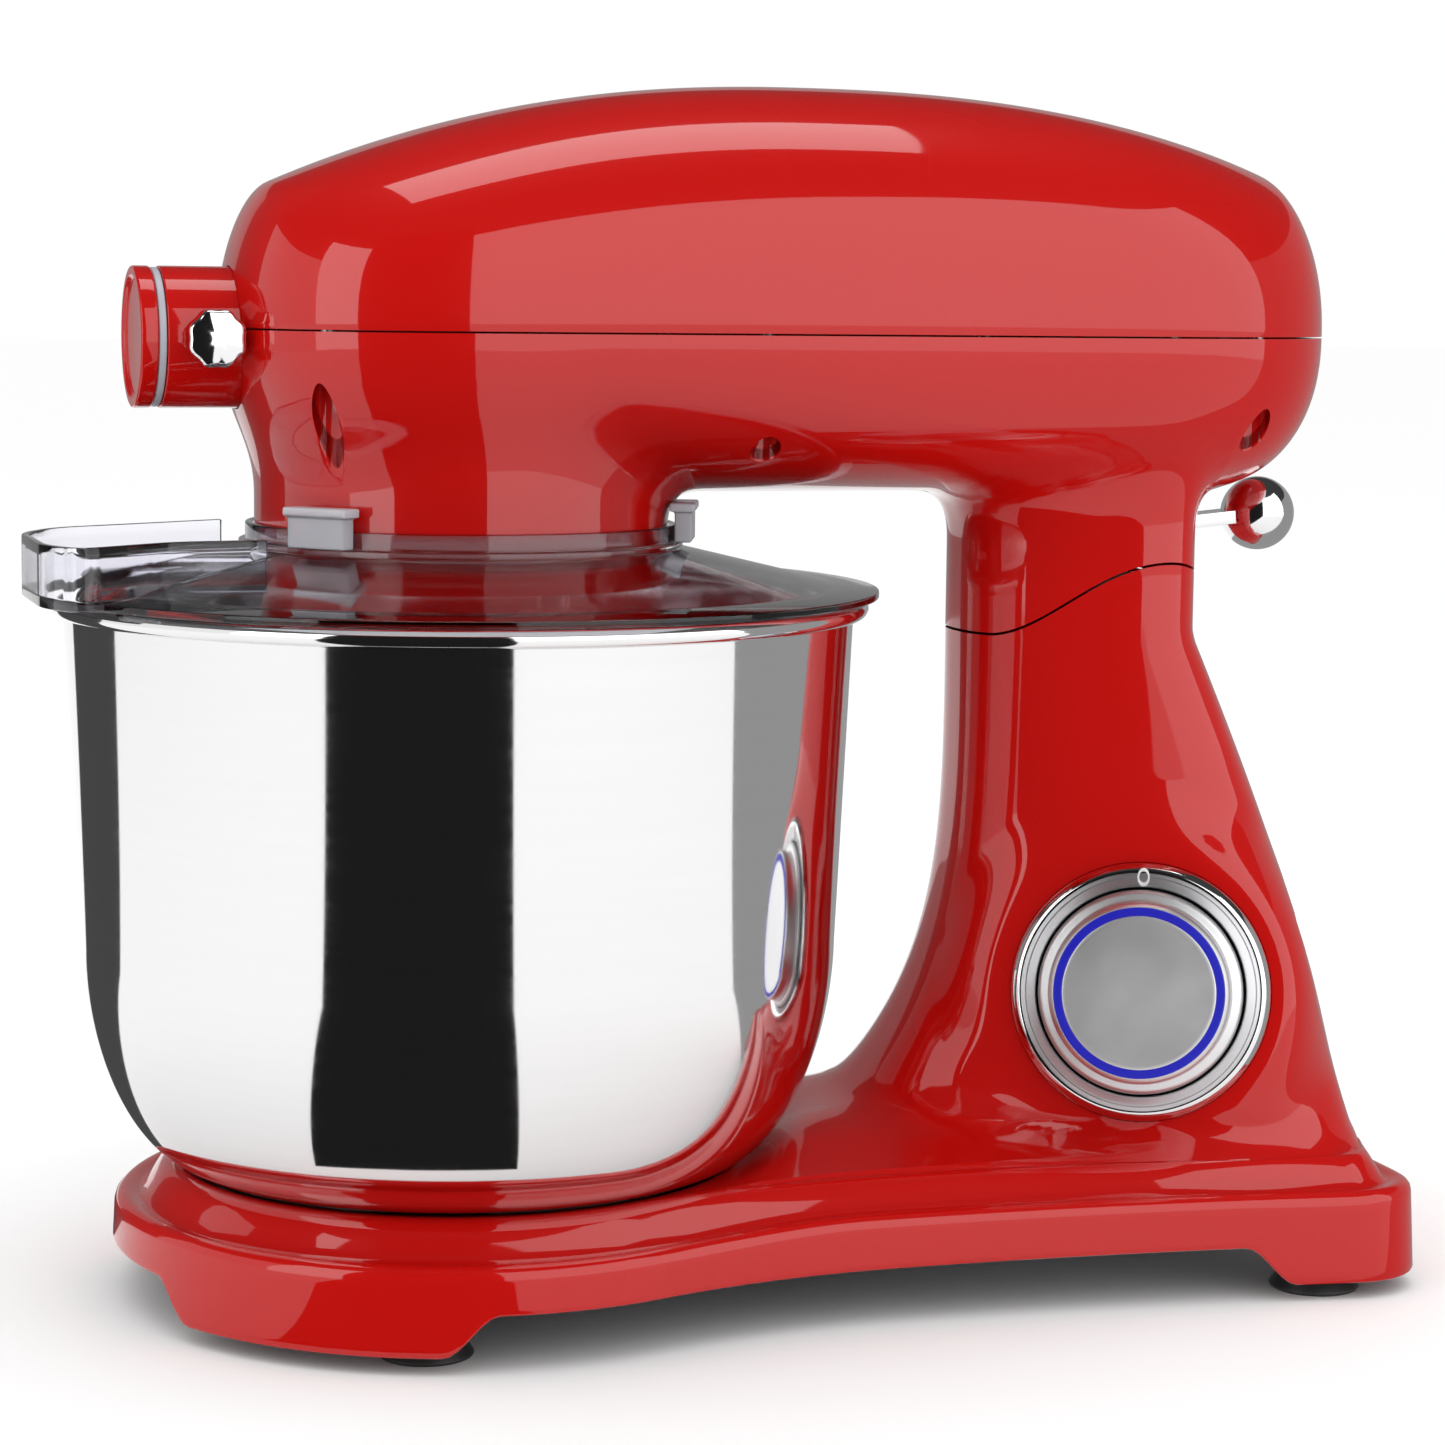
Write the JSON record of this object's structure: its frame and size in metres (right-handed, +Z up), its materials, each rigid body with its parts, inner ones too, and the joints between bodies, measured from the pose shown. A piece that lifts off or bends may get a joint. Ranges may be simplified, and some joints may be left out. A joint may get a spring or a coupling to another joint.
{
  "type": "stand mixer",
  "caption": "Tilt-head kitchen stand mixer with a steel bowl, clear splash guard, planetary flat beater, speed dial, front attachment hub and a rear release lever.",
  "frame": {"origin": "on the floor under the middle of the whole mixer", "axes": "+X from the attachment hub and bowl towards the column, -Y towards the speed dial, +Z up"},
  "size_m": [0.4066, 0.246, 0.3558],
  "materials": {
    "red_housing": "high gloss red enamel",
    "base_plate": "matte black moulded plastic",
    "foot_rubber": "matte black rubber",
    "steel_screw": "zinc-plated steel",
    "seat_plastic": "matte black moulded plastic",
    "hinge_steel": "plain steel",
    "pin_steel": "ground steel",
    "bezel_chrome": "bright chrome",
    "switch_plastic": "matte grey plastic",
    "board_green": "green circuit board",
    "grommet_rubber": "matte black rubber",
    "frame_aluminium": "die-cast aluminium",
    "bronze_bush": "sintered bronze",
    "gear_steel": "machined steel",
    "copper_winding": "varnished copper and laminations",
    "carbon": "pressed carbon",
    "belt_rubber": "black belt rubber",
    "spring_steel": "spring steel",
    "guard_clear": "clear polycarbonate with a violet tint in its edges",
    "clip_soft": "translucent white plastic",
    "fan_plastic": "black nylon",
    "gear_nylon": "natural nylon",
    "carrier_metal": "die-cast aluminium",
    "beater_metal": "burnished cast aluminium",
    "bowl_steel": "mirror-polished stainless steel",
    "knob_metal": "satin metal",
    "light_blue": "blue light ring",
    "lever_chrome": "bright chrome",
    "seal_silicone": "translucent grey silicone"
  },
  "bodies": {
    "stand": {"stand_housing": "red_housing", "base_plate": "base_plate", "suction_feet": "foot_rubber", "base_screws": "steel_screw", "bowl_seat": "seat_plastic", "hinge_bracket": "hinge_steel", "hinge_pin": "pin_steel", "latch_keeper": "hinge_steel", "dial_bezel": "bezel_chrome", "speed_switch": "switch_plastic", "control_board": "board_green", "cord_grommet": "grommet_rubber"},
    "head": {"head_top_cover": "red_housing", "head_lower_shell": "red_housing", "head_screws": "steel_screw", "gearbox_frame": "frame_aluminium", "gearbox_lid": "frame_aluminium", "shaft_bearings": "bronze_bush", "hinge_arm": "hinge_steel", "ring_gear": "gear_steel", "motor_stator": "copper_winding", "motor_brackets": "frame_aluminium", "motor_bolts": "steel_screw", "carbon_brushes": "carbon", "drive_belt": "belt_rubber", "hub_barrel": "red_housing", "lever_mount": "hinge_steel", "lever_spring": "spring_steel", "splash_guard": "guard_clear", "guard_clips": "clip_soft"},
    "rotor": {"rotor_shaft": "pin_steel", "armature": "copper_winding", "commutator": "copper_winding", "cooling_fan": "fan_plastic", "motor_pulley": "gear_steel"},
    "layshaft": {"layshaft": "pin_steel", "large_pulley": "fan_plastic", "layshaft_pinion": "gear_steel"},
    "carrier": {"central_shaft": "pin_steel", "drive_gear": "gear_nylon", "planet_carrier": "carrier_metal"},
    "beater": {"beater_shaft": "pin_steel", "planet_pinion": "gear_steel", "beater_pin": "pin_steel", "flat_beater": "beater_metal"},
    "bowl": {"mixing_bowl": "bowl_steel", "bowl_foot": "bowl_steel"},
    "knob": {"speed_knob": "knob_metal", "knob_light_ring": "light_blue", "knob_cap": "knob_metal"},
    "lever": {"release_lever": "lever_chrome", "lever_ball": "lever_chrome"},
    "hub_cap": {"hub_cap": "red_housing", "hub_seal": "seal_silicone"},
    "clamp_knob": {"hub_clamp_knob": "lever_chrome"}
  },
  "joints": [
    {"name": "head_tilt", "type": "hinge", "parent": "stand", "child": "head", "pos_m": [0.13275, 0, 0.1905], "axis": [0, 1, 0], "range_deg": [0, 40]},
    {"name": "carrier_spin", "type": "hinge", "parent": "head", "child": "carrier", "pos_m": [-0.07575, 0, 0.2098], "axis": [0, 0, 1], "continuous": true},
    {"name": "beater_spin", "type": "hinge", "parent": "carrier", "child": "beater", "pos_m": [-0.04775, 0, 0.2098], "axis": [0, 0, 1], "continuous": true},
    {"name": "layshaft_spin", "type": "hinge", "parent": "head", "child": "layshaft", "pos_m": [-0.02375, 0, 0.2575], "axis": [0, 0, 1], "continuous": true},
    {"name": "motor_spin", "type": "hinge", "parent": "head", "child": "rotor", "pos_m": [0.11875, 0, 0.2837], "axis": [0, 0, 1], "continuous": true},
    {"name": "bowl_twist", "type": "hinge", "parent": "stand", "child": "bowl", "pos_m": [-0.07575, 0, 0.0396], "axis": [0, 0, 1], "range_deg": [0, 30]},
    {"name": "speed_turn", "type": "hinge", "parent": "stand", "child": "knob", "pos_m": [0.12125, -0.0535, 0.088], "axis": [-0.4211, -0.8909, 0.1702], "range_deg": [-210, 30]},
    {"name": "lever_press", "type": "hinge", "parent": "head", "child": "lever", "pos_m": [0.14025, 0, 0.2245], "axis": [0, 1, 0], "range_deg": [0, 15], "stiffness_Nm_per_rad": 0.4, "springref_deg": -20.05},
    {"name": "hub_cap_pull", "type": "slide", "parent": "head", "child": "hub_cap", "axis": [-1, 0, 0], "range_m": [0, 0.022]},
    {"name": "hub_clamp_turn", "type": "hinge", "parent": "head", "child": "clamp_knob", "pos_m": [-0.15225, -0.026, 0.281], "axis": [0, -1, 0], "range_deg": [0, 360]}
  ],
  "couplings": [
    {"joint": "beater_spin", "follows": "carrier_spin", "ratio": -3},
    {"joint": "layshaft_spin", "follows": "carrier_spin", "ratio": -3.3333},
    {"joint": "motor_spin", "follows": "carrier_spin", "ratio": -13.333}
  ]
}
